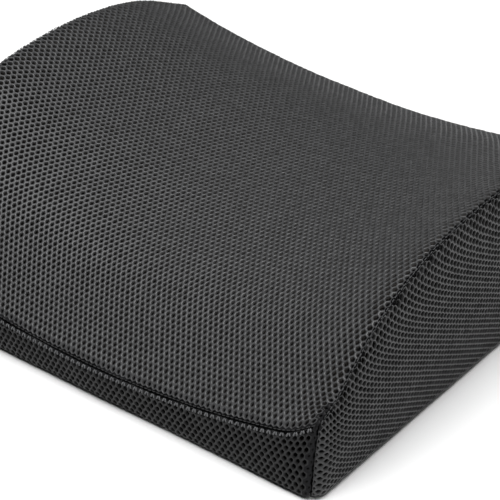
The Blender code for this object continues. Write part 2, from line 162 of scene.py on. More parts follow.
def profile(heights, y):
    """A smooth curve through heights at even steps of depth."""
    heights = np.asarray(heights)
    last = len(heights) - 1
    t = (y - THIN_Y) / (THICK_Y - THIN_Y) * last
    i = np.clip(np.floor(t).astype(int), 0, last - 1)
    slope = np.gradient(heights)
    f = t - i
    blend = f * f * (3 - 2 * f)
    smooth = heights[i] * (1 - blend) + heights[i + 1] * blend
    smooth = smooth + slope[i] * f * (1 - f) ** 2 - slope[i + 1] * f * f * (1 - f)
    return np.where(t < 0, heights[0] + slope[0] * t, smooth)


def top_height(x, y):
    spine = profile(SPINE_HEIGHTS, y)
    return spine + (profile(WING_HEIGHTS, y) - spine) * (x / HALF_WIDTH) ** 2


def bow(x, v):
    """How far the thin end stands out at x, fading with the share v of the depth."""
    return THIN_BOW * (1 - (x / HALF_WIDTH) ** 2) * np.clip(1 - v / BOW_FADE, 0, 1)


def smoothstep(low, high, x):
    t = np.clip((x - low) / (high - low), 0, 1)
    return t * t * (3 - 2 * t)


def ripple(a, b, seed, scale=1.0):
    """A slow, smooth unevenness between about -1 and 1."""
    phase = np.random.default_rng(seed).uniform(0, 6.28, 6)
    waves = ((31, 17), (-23, 41), (57, -12), (12, 66), (-73, -35), (88, 49))
    total = 0
    for k, (m, n) in enumerate(waves):
        total = total + np.sin((m * a + n * b) * scale + phase[k]) / (1 + 0.4 * k)
    return total / 2.6


class Panel:
    """One panel of the cover: cloth coordinates (p, q) in metres, placed on the cushion."""

    def __init__(self, name, span, place, low, high, across, holes, grooves, drawn=None,
                 knit=1.0, pinch=(0.002, 0.003)):
        self.name = name
        self.knit = knit              # size of the cells against the usual
        self.pinch = pinch            # how far the gathered corners reach, in p and q
        self.holes = holes            # a hole's share of its cell, across and along
        self.grooves = grooves        # groove depths along the p edges and the q edges
        self.drawn = drawn            # the edges whose cells are drawn open: "p", "q" or None
        self.span = span              # (first p, last p)
        self.place = place            # place(p, q) gives points
        self.low, self.high = low, high   # q limits as functions of p
        self.across = across          # the axis that the holes stand across: "p" or "q"

    def clamp(self, p, q):
        p = np.clip(p, *self.span)
        return p, np.clip(q, self.low(p), self.high(p))

    def gaps(self, p, q):
        """Distances to the nearer p edge and to the nearer q edge."""
        p_gap = np.minimum(p - self.span[0], self.span[1] - p)
        return p_gap, np.minimum(q - self.low(p), self.high(p) - q)

    def to_seam(self, p, q):
        return np.minimum(*self.gaps(p, q))

    def normal(self, p, q):
        e = 0.0004
        dp = self.place(p + e, q) - self.place(p - e, q)
        dq = self.place(p, q + e) - self.place(p, q - e)
        n = np.cross(dp, dq)
        return n / np.maximum(np.linalg.norm(n, axis=-1, keepdims=True), 1e-12)

    def points(self, p, q, lift):
        """Points above the cloth, which turns down and in at its seams and swells beside them."""
        p, q = self.clamp(p, q)
        d = self.to_seam(p, q)

        def fall(gap, edge):
            return self.grooves[edge] * np.exp(-(gap / GROOVE_REACH) ** 2)

        p_in = p + fall(p - self.span[0], 0) - fall(self.span[1] - p, 0)
        q_in = q + fall(q - self.low(p), 1) - fall(self.high(p) - q, 1)
        p_gap, q_gap = self.gaps(p, q)
        rise = RIDGE * np.exp(-((d - RIDGE_AT) / RIDGE_WIDTH) ** 2)
        rise = rise - np.maximum(fall(p_gap, 0), fall(q_gap, 1))
        return self.place(p_in, q_in) + self.normal(p, q) * (lift + rise)[..., None]

    def edge(self, side, count, lift=0.0):
        """Points and outward normals along one edge: "p0", "p1", "q0" or "q1"."""
        t = np.linspace(0, 1, count)
        if side[0] == "q":
            p = self.span[0] + t * (self.span[1] - self.span[0])
            q = (self.low if side == "q0" else self.high)(p)
        else:
            p = np.full(count, self.span[int(side[1])])
            q = self.low(p) + t * (self.high(p) - self.low(p))
        return self.points(p, q, np.full(count, lift)), self.normal(p, q)


def arc_table():
    """Depth y against cloth length along the top's middle line."""
    y = np.linspace(THIN_Y - THIN_BOW, THICK_Y, 400)
    z = top_height(y * 0 + HALF_WIDTH / 2, y)
    length = np.concatenate([[0], np.cumsum(np.hypot(np.diff(y), np.diff(z)))])
    return length / length[-1], (y - y[0]) / (y[-1] - y[0])


ARC = arc_table()


def place_top(p, q):
    x = SEAM_X * stretched(p / PANEL_HALF, 0.018, 13)
    v = np.interp(q / TOP_LENGTH, ARC[0], ARC[1])
    y = THIN_Y + v * (THICK_Y - THIN_Y)
    y = y - bow(x, v)
    side = SEAM_X - np.abs(x)
    end = np.minimum(y - THIN_Y + bow(x, v), THICK_Y - y)
    d = np.minimum(np.abs(side), np.abs(end))
    swell = PUFF * (1 - np.exp(-d / PUFF_RISE)) * np.exp(-d / PUFF_FADE) - SAG * smoothstep(0, SAG_REACH, d)
    return pulled(x, y, top_height(x, y) + swell + TOP_UNEVEN * ripple(x, y, 3))


def stretched(s, amount, power):
    """Cloth share to shape share: the cells beside a side seam are drawn wider."""
    return (s + amount * np.sign(s) * np.abs(s) ** power) / (1 + amount)


def pulled(x, y, z):
    """The seams draw the thin end's upper corners in, back and up, and the lower ones stand out."""
    near = np.exp(-((SEAM_X - np.abs(x)) ** 2 + (y - THIN_Y) ** 2) / CORNER_PULL_REACH ** 2)
    near = near * smoothstep(0, WING_HEIGHTS[0], z)
    inward, back, up = CORNER_PULL
    across, deep, high = FLARE_REACH
    low = np.exp(-((SEAM_X - np.abs(x)) / across) ** 2 - ((y - THIN_Y) / deep) ** 2)
    low = low * (1 - smoothstep(0, high, z))
    x = x - np.sign(x) * inward * near
    return np.stack([x, y + back * near - CORNER_FLARE * low, z + up * near], -1)


def wall_point(along, half, q, height, side, wrap, swell):
    """A point of a wall: distance along it and cloth height from under its lower edge."""
    turn = BOTTOM_ROUND * math.pi / 2
    phi = np.clip(q / BOTTOM_ROUND, 0, math.pi / 2)
    inset = BOTTOM_ROUND * (1 - np.sin(phi))
    z = np.where(q < turn, BOTTOM_ROUND * (1 - np.cos(phi)), BOTTOM_ROUND + q - turn)
    share = np.clip(z / np.maximum(height, 1e-6), 0, 1)
    bulge = swell * np.sin(math.pi * share) * (1 - (along / half) ** 8)
    bulge = bulge + WALL_UNEVEN * ripple(along, z, side) * np.sin(math.pi * share)
    radius = CORNER_LOW + (CORNER_TOP - CORNER_LOW) * smoothstep(0.45, 1.0, share)
    reach = np.abs(along) / half * (half - radius + radius * wrap)
    angle = np.clip((reach - (half - radius)) / radius, 0, wrap)
    straight = np.minimum(reach, half - radius)
    along = np.sign(along) * (straight + radius * np.sin(angle)) * (1 - inset / half)
    return along, bulge - inset - radius * (1 - np.cos(angle)), z + FLOOR_GAP


def cloth_height(z):
    """Cloth length up a wall, from under its lower edge to the height z."""
    return z - FLOOR_GAP - BOTTOM_ROUND + BOTTOM_ROUND * math.pi / 2


def zero(p):
    return p * 0


def side_panel(name, sign):
    """The panel of one side: sign is 1 on the right and -1 on the left."""

    def height(p):
        return top_height(SEAM_X, MID_Y + sign * p)

    def place(p, q):
        top = cloth_height(height(p))
        q = top * stretched(q / top, 0.09, 9)
        along, out, z = wall_point(p, HALF_DEPTH, q, height(p), 11 + sign, CORNER_WRAP, SIDE_BULGE)
        return pulled(sign * (SEAM_X + out), MID_Y + sign * along, z)

    def high(p):
        return cloth_height(height(p))

    return Panel(name, (-HALF_DEPTH, HALF_DEPTH), place, zero, high, "q", (0.54, 0.76),
                 (CORNER_GROOVE, SIDE_GROOVE), "q")


def end_panel(name, thick, upper_of_zip=False, lower_of_zip=False):
    """The band across one end: whole, or the part above or below the zip."""
    sign = 1 if thick else -1

    def base_y(x, share=1.0):
        if thick:
            return THICK_Y - x * 0
        return THIN_Y - bow(x, 0.0) * (LOW_BOW / THIN_BOW * (1 - share) + share)

    def height(p):
        return top_height(p, base_y(p))

    def place(p, q):
        p = -sign * p
        along, out, z = wall_point(p, SEAM_X, q, height(p), 23 + sign, math.pi / 2 - CORNER_WRAP, END_BULGE)
        share = np.clip(z / height(p), 0, 1)
        if thick:
            dip = ZIP_DIP * np.exp(-((z - ZIP_Z) / 0.013) ** 2)
            out = out - dip * smoothstep(0, 0.02, SEAM_X - np.abs(p))
        return pulled(along, base_y(along, share) + sign * out, z)

    def gap(p):
        """Half the zip's opening; the cloth closes over the tapes' ends."""
        return 0.0002 + ZIP_OPEN * (1 - smoothstep(ZIP_END, ZIP_END + 0.003, np.abs(p)))

    def low(p):
        return cloth_height(ZIP_Z + gap(p)) if upper_of_zip else p * 0

    def high(p):
        return cloth_height(ZIP_Z - gap(p)) if lower_of_zip else cloth_height(height(p))

    return Panel(name, (-SEAM_X, SEAM_X), place, low, high, "p", (0.52, 0.66),
                 (CORNER_GROOVE, END_GROOVE), knit=1.0 if thick else BAND_KNIT, pinch=(0.004, 0.006))


def back_panel():
    """The flat panel underneath, pressed in where the strap lies."""
    inset = BOTTOM_ROUND + 0.001

    def place(p, q):
        x = p / SEAM_X * (SEAM_X - inset)
        v = q / (2 * HALF_DEPTH)
        y = THIN_Y + inset + v * (2 * HALF_DEPTH - 2 * inset) - bow(x, v) * LOW_BOW / THIN_BOW
        return np.stack([-x, y, FLOOR_GAP + hollow(-x, y)], -1)

    def high(p):
        return p * 0 + 2 * HALF_DEPTH

    return Panel("cover_back_panel", (-SEAM_X, SEAM_X), place, zero, high, "p", (0.5, 0.7),
                 (SIDE_GROOVE, SIDE_GROOVE))


def top_panel():
    def high(p):
        return p * 0 + TOP_LENGTH

    return Panel("cover_top_panel", (-PANEL_HALF, PANEL_HALF), place_top, zero, high, "p", (0.44, 0.72),
                 (SIDE_GROOVE, END_GROOVE), "p", pinch=(0.0050, 0.0200))


def hollow(x, y):
    """Depth pressed into the back by the strap, its keeper and its buckle."""
    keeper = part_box("strap_keeper")
    socket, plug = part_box("buckle_socket"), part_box("buckle_plug")
    across = 1 - smoothstep(0, HOLLOW_RAMP, np.abs(y - STRAP_Y) - HOLLOW_HALF)
    depth = STRAP_HOLLOW * (1 - smoothstep(0, 0.002, np.abs(x) + STRAP_LOW.x))
    # the keeper and the plug have room to slide
    for low, high, deep in ((keeper[0].x - 0.0203, keeper[1].x + 0.0203, KEEPER_HOLLOW),
                            (socket[0].x - 0.002, plug[1].x + 0.0255, BUCKLE_HOLLOW)):
        beyond = np.maximum(low - x, x - high)
        depth = np.maximum(depth, deep * (1 - smoothstep(0, HOLLOW_RAMP, beyond)))
    return depth * across


# Materials

def principled(name, colour, roughness, metallic=0.0, specular=0.5):
    mat = bpy.data.materials.new(name)
    mat.use_nodes = True
    shader = mat.node_tree.nodes["Principled BSDF"]
    shader.inputs["Base Color"].default_value = (*colour, 1)
    shader.inputs["Roughness"].default_value = roughness
    shader.inputs["Metallic"].default_value = metallic
    shader.inputs["Specular IOR Level"].default_value = specular
    return mat


def textured(mat, pattern, scale, contrast, bump, rough_swing=0.08, stretch=(1, 1, 1)):
    """Drive a material's colour, roughness and bump from a pattern in the part's own metres."""
    nodes, links = mat.node_tree.nodes, mat.node_tree.links
    shader = nodes["Principled BSDF"]
    place = nodes.new("ShaderNodeTexCoord")
    mapping = nodes.new("ShaderNodeMapping")
    mapping.inputs["Scale"].default_value = stretch
    links.new(place.outputs["Object"], mapping.inputs["Vector"])
    tex = nodes.new({"noise": "ShaderNodeTexNoise", "wave": "ShaderNodeTexWave",
                     "cells": "ShaderNodeTexVoronoi"}[pattern])
    tex.inputs["Scale"].default_value = scale
    if pattern == "wave":
        tex.inputs["Distortion"].default_value = 0.6
        tex.inputs["Detail"].default_value = 1.0
        tex.bands_direction = "DIAGONAL"
    links.new(mapping.outputs["Vector"], tex.inputs["Vector"])
    value = tex.outputs["Distance" if pattern == "cells" else "Fac"]
    colour = shader.inputs["Base Color"].default_value[:3]
    ramp = nodes.new("ShaderNodeValToRGB")
    for stop, share in zip(ramp.color_ramp.elements, (1 - contrast, 1 + contrast)):
        stop.color = (*(min(1.0, c * share) for c in colour), 1)
    ramp.color_ramp.elements[0].position = 0.25
    ramp.color_ramp.elements[1].position = 0.75
    links.new(value, ramp.inputs["Fac"])
    links.new(ramp.outputs["Color"], shader.inputs["Base Color"])
    rough = shader.inputs["Roughness"].default_value
    spread = nodes.new("ShaderNodeMapRange")
    spread.inputs["To Min"].default_value = rough - rough_swing
    spread.inputs["To Max"].default_value = min(1.0, rough + rough_swing)
    links.new(value, spread.inputs["Value"])
    links.new(spread.outputs["Result"], shader.inputs["Roughness"])
    relief = nodes.new("ShaderNodeBump")
    relief.inputs["Distance"].default_value = bump
    links.new(value, relief.inputs["Height"])
    links.new(relief.outputs["Normal"], shader.inputs["Normal"])
    return mat


def mesh_cloth(lit_copy, yarn, depth, wall, specular):
    """The knit's materials, in the order of a cover panel's slots, as one lit or shaded copy of the knit:
    its yarn, underside and spacer colours and its specular level are set per face of the cushion as painted
    light and shade.
    """
    lots = []
    for k, v in enumerate((yarn * 0.89, yarn, yarn * 1.13)):
        lot = principled(f"mesh_yarn_{lit_copy}_{k}", (v, v * 1.01, v * 1.04), 0.42, specular=specular)
        lots.append(textured(lot, "noise", 700, 0.22, 0.00005))
    # the holes' walls: the yarn again, painted darker as painted shade
    under = textured(principled(f"mesh_under_shade_{lit_copy}", (wall, wall, wall), 0.8, specular=0.1),
                     "noise", 500, 0.3, 0.00005)
    # the spacer layer below the net: a real dark brown layer, but how light it is in each copy is painted
    # light and shade
    brown = (depth, depth * 0.9, depth * 0.82)
    spacer = textured(principled(f"mesh_spacer_{lit_copy}", brown, 0.9, specular=0.05),
                      "noise", 900, 0.4, 0.0001)
    # painted seam shade: near black for the cells gathered into the seams and corners
    dark = (0.009, 0.009, 0.010)
    painted_seam_shade = textured(principled(f"mesh_painted_seam_shade_{lit_copy}", dark, 0.7, specular=0.15),
                        "noise", 1100, 0.4, 0.0001)
    return [*lots, under, spacer, painted_seam_shade]


# Mesh building

def mesh_object(name, verts, faces, mats, indices=None):
    mesh = bpy.data.meshes.new(name)
    mesh.from_pydata(verts, [], faces)
    for mat in mats:
        mesh.materials.append(mat)
    if indices is not None:
        mesh.polygons.foreach_set("material_index", indices)
    mesh.shade_smooth()
    mesh.update()
    obj = bpy.data.objects.new(name, mesh)
    bpy.context.scene.collection.objects.link(obj)
    return obj


def finish_piece(obj, slot, *nodes, body="cushion"):
    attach(obj, body)
    if nodes:
        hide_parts(*nodes)


def next_along(grid, axis=1):
    return np.roll(grid, -1, axis=axis)


def net_mesh(panel):
    """Vertices, faces and material slots of the panel's yarn net."""
    p0, p1 = panel.span
    ps = np.linspace(p0, p1, 200)
    q0, q1 = float(np.min(panel.low(ps))), float(np.max(panel.high(ps)))
    if panel.across == "p":
        a0, a1, b0, b1 = p0, p1, q0, q1
    else:
        a0, a1, b0, b1 = q0, q1, p0, p1
    cell, row = CELL * panel.knit, ROW * panel.knit
    columns = int(round((a1 - a0) / cell)) + 2
    rows = int(round((b1 - b0) / row)) + 3
    j, i = np.meshgrid(np.arange(rows), np.arange(columns), indexing="ij")
    ca = a0 + (i - 0.75 + 0.5 * (j % 2)) * cell
    cb = b0 + (j - 1.0) * row
    tall = row / 2 + cell ** 2 / (8 * row)

    def coords(a, b):
        """From across and along the holes to the panel's own (p, q), with the knit's unevenness."""
        a = a + KNIT_DRIFT * ripple(b, a, 41, 0.6)
        b = b + KNIT_DRIFT * ripple(a, b, 43, 0.6)
        return (a, b) if panel.across == "p" else (b, a)

    corners = []
    for sign in (1, -1):
        a = ca + rng.normal(0, YARN_JITTER, ca.shape)
        b = cb + sign * tall + rng.normal(0, YARN_JITTER, ca.shape)
        corners.append(coords(a, b))
    # keep the cells whose centre lies in the panel
    cp, cq = coords(ca, cb)
    inner = panel.to_seam(cp, cq) > -0.0002
    inner[[0, -1], :] = False
    inner[:, [0, -1]] = False
    js, is_ = np.nonzero(inner)
    odd = js % 2
    count = rows * columns
    right, left = is_ + odd, is_ - 1 + odd
    here, above, below = js * columns, (js + 1) * columns, (js - 1) * columns
    ring = np.stack([here + is_, count + above + right, below + right,
                     count + here + is_, below + left, count + above + left], 1)
    all_p = np.concatenate([corners[0][0].ravel(), corners[1][0].ravel()])
    all_q = np.concatenate([corners[0][1].ravel(), corners[1][1].ravel()])
    used, ring = np.unique(ring, return_inverse=True)
    ring = ring.reshape(-1, 6)
    rp, rq = panel.clamp(all_p[used], all_q[used])
    rise = YARN_CROWN * (1 + 0.3 * rng.normal(0, 1, len(rp)).clip(-1, 1))
    ridge = panel.points(rp, rq, rise)

    # the holes: each corner drawn in towards the cell's middle, more so at the seams
    mp = rp[ring].mean(1, keepdims=True)
    mq = rq[ring].mean(1, keepdims=True)
    p_gap, q_gap = panel.gaps(mp[:, 0], mq[:, 0])
    d = np.minimum(p_gap, q_gap)
    pinched = np.exp(-(p_gap / panel.pinch[0]) ** 2 - (q_gap / panel.pinch[1]) ** 2)
    open_ = (0.75 + 0.25 * smoothstep(0.0002, 0.0030, d)) * (1 - 0.6 * pinched)
    if panel.drawn is None:
        open_ = open_ * (0.55 + 0.45 * smoothstep(0.0005, 0.0055, p_gap))
    open_ = open_ * (1 + HOLE_SWING * rng.normal(0, 1, len(ring)).clip(-2, 2))
    wide, long_ = panel.holes
    drawn_gap = {"p": p_gap, "q": panel.high(mp[:, 0]) - mq[:, 0]}.get(panel.drawn, d * 0 + 1)
    drawn_open = np.exp(-(drawn_gap / DRAWN_REACH) ** 2)
    wide = wide + DRAWN_WIDER * drawn_open
    long_ = long_ + DRAWN_LONGER * drawn_open
    if panel.drawn == "q":
        wide = wide - 0.18 * np.exp(-(p_gap / 0.014) ** 2)
    rolled = (q_gap < ROLLED_REACH) & (panel.drawn != "q")
    beside = (p_gap < BESIDE_REACH) & (panel.drawn is None)
    open_ = np.where(rolled, ROLLED_OPEN, np.where(beside, BESIDE_OPEN, open_))
    share = np.stack([d * 0 + long_, wide, wide] * 2, 1) * open_[:, None]
    rings = []
    for part, lift in ((FLANK_SHARE, YARN_FLANK), (0.0, YARN_EDGE)):
        drawn = share + (1 - share) * part
        hp = mp + (rp[ring] - mp) * drawn
        hq = mq + (rq[ring] - mq) * drawn
        rings.append(panel.points(hp, hq, np.full(hp.shape, lift)))
    n, m = len(ridge), len(ring)
    verts = np.concatenate([ridge, rings[0].reshape(-1, 3), rings[1].reshape(-1, 3)])
    flank = n + np.arange(m * 6).reshape(m, 6)
    edge = flank + m * 6
    top = np.stack([ring, next_along(ring), next_along(flank), flank], -1).reshape(-1, 4)
    under = np.stack([flank, next_along(flank), next_along(edge), edge], -1).reshape(-1, 4)
    slots = np.repeat(rng.integers(0, YARN_LOTS, m), 6)
    # cells gathered at the corners or rolled into the seams are painted near black as seam shade
    painted_seam_shade = (pinched > rng.uniform(0.25, 0.7, m)) | rolled | beside
    slots[np.repeat(painted_seam_shade, 6)] = SEAM_SHADE_SLOT
    return verts, np.concatenate([top, under]), np.concatenate([slots, slots * 0 + SHADED_UNDER_SLOT])


def backing_mesh(panel, step=0.004):
    """Vertices, faces and material slots of the dark layer below the net."""
    p0, p1 = panel.span
    columns = max(2, int((p1 - p0) / step))
    ps = np.linspace(p0, p1, columns + 1)
    reach = float(np.max(panel.high(ps) - panel.low(ps)))
    rows = max(2, int(reach / step))
    t = np.linspace(0, 1, rows + 1)
    p = np.repeat(ps[:, None], rows + 1, 1)
    q = panel.low(p) + t[None] * (panel.high(p) - panel.low(p))
    d = panel.to_seam(p, q)
    depth = BACKING_DEPTH * smoothstep(-0.001, 0.004, d) * 0.8 + BACKING_DEPTH * 0.2
    verts = panel.points(p, q, -depth).reshape(-1, 3)
    index = np.arange(len(verts)).reshape(columns + 1, rows + 1)
    faces = np.stack([index[:-1, :-1], index[1:, :-1], index[1:, 1:], index[:-1, 1:]], -1)
    # within a few millimetres of a seam the layer is painted near black, as seam shade
    middle = (d[:-1, :-1] + d[1:, 1:]) / 2
    return verts, faces.reshape(-1, 4), np.where(middle < SEAM_SHADE_REACH, SEAM_SHADE_SLOT, SPACER_SLOT).ravel()


def face_outward(verts, faces, panel):
    """Reverse the faces if they turn away from the cushion's outside."""
    a, b, c = (verts[faces[:, k]] for k in (0, 1, 2))
    normals = np.cross(b - a, c - a)
    centre = np.array([0, MID_Y, 0.04])
    if panel.name == "cover_back_panel":
        outward = -normals[:, 2].sum()
    else:
        outward = np.sum(normals * (a - centre))
    return faces[:, ::-1] if outward < 0 else faces


def cover_panel(panel, mats):
    """One panel of the cover: its net and the dark layer below, as one piece."""
    verts, faces, net_slots = net_mesh(panel)
    faces = face_outward(verts, faces, panel)
    sheet_verts, sheet, sheet_slots = backing_mesh(panel)
    sheet = face_outward(sheet_verts, sheet, panel)
    slots = np.concatenate([net_slots, sheet_slots])
    sheet = sheet + len(verts)
    obj = mesh_object("mesh_" + panel.name, np.concatenate([verts, sheet_verts]).tolist(),
                      np.concatenate([faces, sheet]).tolist(), mats, slots)
    finish_piece(obj, "spacer_mesh", panel.name)


def capsules(name, starts, ends, normals, radius, mat, flat=0.7, sides=6):
    """Short rounded threads from each start to its end, bowed slightly outward."""
    steps = (0.0, 0.12, 0.5, 0.88, 1.0)
    girth = (0.35, 0.85, 1.0, 0.85, 0.35)
    arch = (-0.5, -0.1, 0.15, -0.1, -0.5)
    along = ends - starts
    across = np.cross(along, normals)
    across /= np.linalg.norm(across, axis=1, keepdims=True)
    turn = np.arange(sides) * 2 * math.pi / sides
    rings = []
    for t, g, lift in zip(steps, girth, arch):
        middle = starts + along * t + normals * radius * lift
        ring = middle[:, None] + radius * g * (across[:, None] * np.cos(turn)[None, :, None]
                                               + flat * normals[:, None] * np.sin(turn)[None, :, None])
        rings.append(ring)
    verts = np.stack(rings, 1)
    index = np.arange(verts.shape[0] * len(steps) * sides).reshape(len(starts), len(steps), sides)
    after = next_along(index, axis=2)
    quads = np.stack([index[:, :-1], after[:, :-1], after[:, 1:], index[:, 1:]], -1).reshape(-1, 4)
    faces = quads.tolist() + index[:, 0, ::-1].tolist() + index[:, -1].tolist()
    return mesh_object(name, verts.reshape(-1, 3).tolist(), faces, [mat])


def stitch_row(node, path, normals, mat, pitch=0.0030, length=0.0024, radius=0.00032):
    """Stitches along a path, standing for the CAD's continuous thread."""
    steps = np.linalg.norm(np.diff(path, axis=0), axis=1)
    reach = np.concatenate([[0], np.cumsum(steps)])
    marks = np.arange(pitch / 2, reach[-1] - pitch, pitch)

    def at(grid, s):
        return np.stack([np.interp(s, reach, grid[:, k]) for k in range(3)], 1)

    facing = at(normals, marks)
    facing /= np.linalg.norm(facing, axis=1, keepdims=True)
    sway = rng.normal(0, 0.00012, (len(marks), 1)) * facing
    obj = capsules("stitches_" + node.replace("seam_thread_", ""), at(path, marks) + sway,
                   at(path, marks + length) + sway, facing, radius, mat)
    finish_piece(obj, "thread", node)


def ribbon(name, path, width, thickness, mat, ribs, middle_y):
    """Woven webbing swept along a path in the XZ plane, its faces ribbed lengthwise."""
    tangent = np.gradient(path, axis=0)
    tangent /= np.linalg.norm(tangent, axis=1, keepdims=True)
    normal = np.stack([-tangent[:, 1], tangent[:, 0]], 1)
    columns = ribs * 6
    across = np.linspace(-1, 1, columns + 1)
    edge = np.sqrt(np.clip(1 - np.abs(across) ** 14, 0, 1))
    rib = (0.82 + 0.18 * np.cos(across * math.pi * ribs)) * edge
    pick = 1 + 0.06 * np.cos(np.arange(len(path)) * math.pi)
    sheets = []
    for side in (1, -1):
        lift = side * thickness / 2 * rib[None] * pick[:, None]
        x = path[:, None, 0] + normal[:, None, 0] * lift
        z = path[:, None, 1] + normal[:, None, 1] * lift
        sheets.append(np.stack([x, middle_y + across[None] * width / 2 + x * 0, z], -1))
    rows, cols = len(path), columns + 1
    loop = np.concatenate([sheets[0], sheets[1][:, ::-1]], 1)
    index = np.arange(rows * cols * 2).reshape(rows, cols * 2)
    after = next_along(index)
    quads = np.stack([index[:-1], after[:-1], after[1:], index[1:]], -1).reshape(-1, 4)
    faces = quads.tolist() + [index[0, ::-1].tolist(), index[-1].tolist()]
    return mesh_object(name, loop.reshape(-1, 3).tolist(), faces, [mat])


def strap_half(node, sign, mat):
    """One half of the elastic strap: a flat run from the side seam, looped round its buckle bar."""
    low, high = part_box(node)
    loop = (high.z - low.z) / 2
    radius = loop - STRAP_THICK / 2
    outer = high.x if sign > 0 else low.x
    bar_x = low.x + loop if sign > 0 else high.x - loop
    flat_z = low.z + STRAP_THICK / 2
    run = np.arange(0, abs(outer - bar_x), STRAP_STEP)
    flat = np.stack([outer - sign * run, run * 0 + flat_z], 1)
    turn = np.radians(np.arange(-88, 200, 12))
    middle_z = (low.z + high.z) / 2
    wrap = np.stack([bar_x - sign * radius * np.cos(turn), middle_z + radius * np.sin(turn)], 1)
    back_run = np.arange(0.004, 0.022, STRAP_STEP)
    back = np.stack([bar_x + sign * back_run, back_run * 0 + flat_z + STRAP_THICK * 1.05], 1)
    path = np.concatenate([flat, wrap, back])
    obj = ribbon("webbing_" + node.replace("strap_webbing_", ""), path, STRAP_WIDTH, STRAP_THICK, mat,
                 STRAP_RIBS, STRAP_Y)
    finish_piece(obj, "elastic_webbing", node)
    return obj, outer, bar_x, flat_z


def evaluated_mesh(obj):
    return bpy.data.meshes.new_from_object(obj.evaluated_get(bpy.context.evaluated_depsgraph_get()))


def eased(node, mat, slot, body, width=0.0004):
    """A moulded or cast piece: the CAD solid with its edges rounded over."""
    obj = bpy.data.objects.new(node + "_moulded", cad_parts[node].data.copy())
    obj.data.materials.clear()
    obj.data.materials.append(mat)
    bpy.context.scene.collection.objects.link(obj)
    bm = bmesh.new()
    bm.from_mesh(obj.data)
    bmesh.ops.remove_doubles(bm, verts=bm.verts, dist=1e-6)
    bmesh.ops.dissolve_limit(bm, angle_limit=math.radians(2), verts=bm.verts, edges=bm.edges)
    bm.to_mesh(obj.data)
    bm.free()
    bevel = obj.modifiers.new("Edges", "BEVEL")
    bevel.width = width
    bevel.segments = 3
    bevel.limit_method = "ANGLE"
    bevel.angle_limit = math.radians(40)
    bevel.harden_normals = True
    obj.data = evaluated_mesh(obj)
    obj.modifiers.clear()
    obj.data.shade_smooth()
    obj.data.set_sharp_from_angle(angle=math.radians(50))
    finish_piece(obj, slot, node, body=body)


def zip_half(side, tape_mat, coil_mat, first):
    """One side of the zip: its woven tape, and the turns of its coil, the first set back a little."""
    low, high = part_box("zip_tape_" + side)
    step, cords = 0.0016, 17
    xs = np.arange(low.x, high.x + step / 2, step)
    zs = np.linspace(low.z, high.z, cords)
    x, z = np.meshgrid(xs, zs, indexing="ij")
    lengthwise = 0.00012 * np.cos(np.arange(cords) * math.pi)
    crosswise = 0.00006 * np.cos(np.arange(len(xs)) * math.pi)
    weave = lengthwise[None] + crosswise[:, None]
    sheets = [np.stack([x, x * 0 + high.y + weave, z], -1), np.stack([x, x * 0 + low.y, z], -1)]
    loop = np.concatenate([sheets[0], sheets[1][:, ::-1]], 1)
    index = np.arange(loop.shape[0] * loop.shape[1]).reshape(loop.shape[:2])
    after = next_along(index)
    quads = np.stack([index[:-1], index[1:], after[1:], after[:-1]], -1).reshape(-1, 4)
    faces = quads.tolist() + [index[0].tolist(), index[-1, ::-1].tolist()]
    tape = mesh_object("zip_tape_woven_" + side, loop.reshape(-1, 3).tolist(), faces, [tape_mat])
    finish_piece(tape, "zip_tape", "zip_tape_" + side)
    low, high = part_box("zip_coil_" + side)
    outer, inner = (high.z, low.z - COIL_REACH) if side == "upper" else (low.z, high.z + COIL_REACH)
    marks = np.arange(low.x + 0.0008 + first, high.x - 0.0008, COIL_PITCH)
    y = (low.y + high.y) / 2
    starts = np.stack([marks, marks * 0 + y, marks * 0 + outer], 1)
    ends = np.stack([marks, marks * 0 + y, marks * 0 + inner], 1)
    out = np.tile((0.0, 1.0, 0.0), (len(marks), 1))
    coil = capsules("zip_coil_turns_" + side, starts, ends, out, COIL_PITCH * 0.235, coil_mat,
                    flat=1.5, sides=8)
    finish_piece(coil, "zip_coil", "zip_coil_" + side)


def soft_copy(name, swell):
    """A remeshed copy of the foam core with rounded edges, swollen by a given amount.

    Its corners and its thin edge are drawn in to lie under the sewn cover.
    """
    obj = bpy.data.objects.new(name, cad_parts["foam_core"].data.copy())
    obj.data.materials.clear()
    bpy.context.scene.collection.objects.link(obj)
    remesh = obj.modifiers.new("Remesh", "REMESH")
    remesh.mode = "VOXEL"
    remesh.voxel_size = 0.005
    soften = obj.modifiers.new("Soften", "SMOOTH")
    soften.factor = 0.5
    soften.iterations = 6
    grow = obj.modifiers.new("Grow", "DISPLACE")
    grow.strength = swell
    grow.mid_level = 0.0
    mesh = evaluated_mesh(obj)
    points = np.array([v.co for v in mesh.vertices])
    x, y, z = points.T
    to_corner = np.hypot(HALF_WIDTH - np.abs(x), HALF_DEPTH - np.abs(y - MID_Y))
    near = SOFT_CORNER * np.exp(-(to_corner / SOFT_CORNER_REACH) ** 2)
    share = np.clip(z / top_height(x, y), 0, 1)
    thin_bow = THIN_BOW * share + LOW_BOW * (1 - share)
    drawn_in = bow(x, (y - THIN_Y) / (2 * HALF_DEPTH)) / THIN_BOW * (CAD_BOW - thin_bow)
    points = np.stack([x - np.sign(x) * near, y - np.sign(y - MID_Y) * near + drawn_in,
                       np.minimum(z, top_height(x, y + drawn_in) - COVER_THICK)], 1)
    mesh.vertices.foreach_set("co", points.ravel())
    obj.modifiers.clear()
    obj.data = mesh
    mesh.shade_smooth()
    return obj


